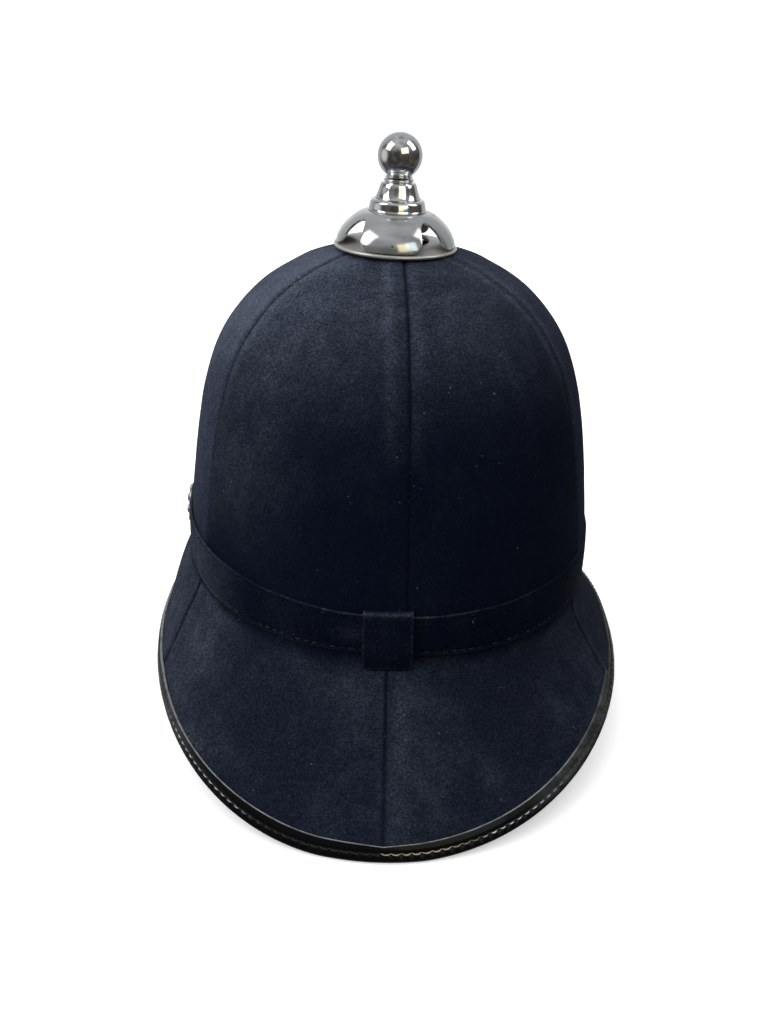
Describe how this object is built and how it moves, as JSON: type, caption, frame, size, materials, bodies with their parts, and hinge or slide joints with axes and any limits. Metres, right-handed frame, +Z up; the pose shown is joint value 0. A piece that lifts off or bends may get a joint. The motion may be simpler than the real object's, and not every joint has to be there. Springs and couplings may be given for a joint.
{
  "type": "custodian helmet",
  "caption": "Tall cloth-covered custodian helmet with sewn panels, deep back and front peaks bound in leather, a cloth band with a keeper, side rosettes and a plated ball on an open vent.",
  "frame": {"origin": "middle of the bounding box at the level that the rim rests on", "axes": "+Z up; +Y towards the front peak and -Y towards the back peak, which the picture shows; +X to the wearer's right"},
  "size_m": [0.2285, 0.3112, 0.2661],
  "materials": {
    "cover_cloth": "dark navy wool melton, worn and dusty",
    "peak_cloth": "dark navy wool melton, worn and dusty",
    "band_cloth": "dark navy cloth, stitched along both edges",
    "binding_leather": "black patent leather with pale stitches",
    "bright_plate": "polished nickel or chrome plate",
    "dull_plate": "duller nickel plate, lightly scratched"
  },
  "bodies": {
    "root": {"crown_panel_back_right": "cover_cloth", "crown_panel_right": "cover_cloth", "crown_panel_front_right": "cover_cloth", "crown_panel_front_left": "cover_cloth", "crown_panel_left": "cover_cloth", "crown_panel_back_left": "cover_cloth", "back_peak": "peak_cloth", "front_peak": "peak_cloth", "back_binding": "binding_leather", "front_binding": "binding_leather", "hat_band": "band_cloth", "band_keeper": "band_cloth", "side_rosette_left": "bright_plate", "side_rosette_right": "bright_plate", "vent_plate": "dull_plate", "vent_dome": "bright_plate", "finial_collar": "bright_plate", "finial_stem": "bright_plate", "finial_ball": "bright_plate"}
  },
  "joints": []
}
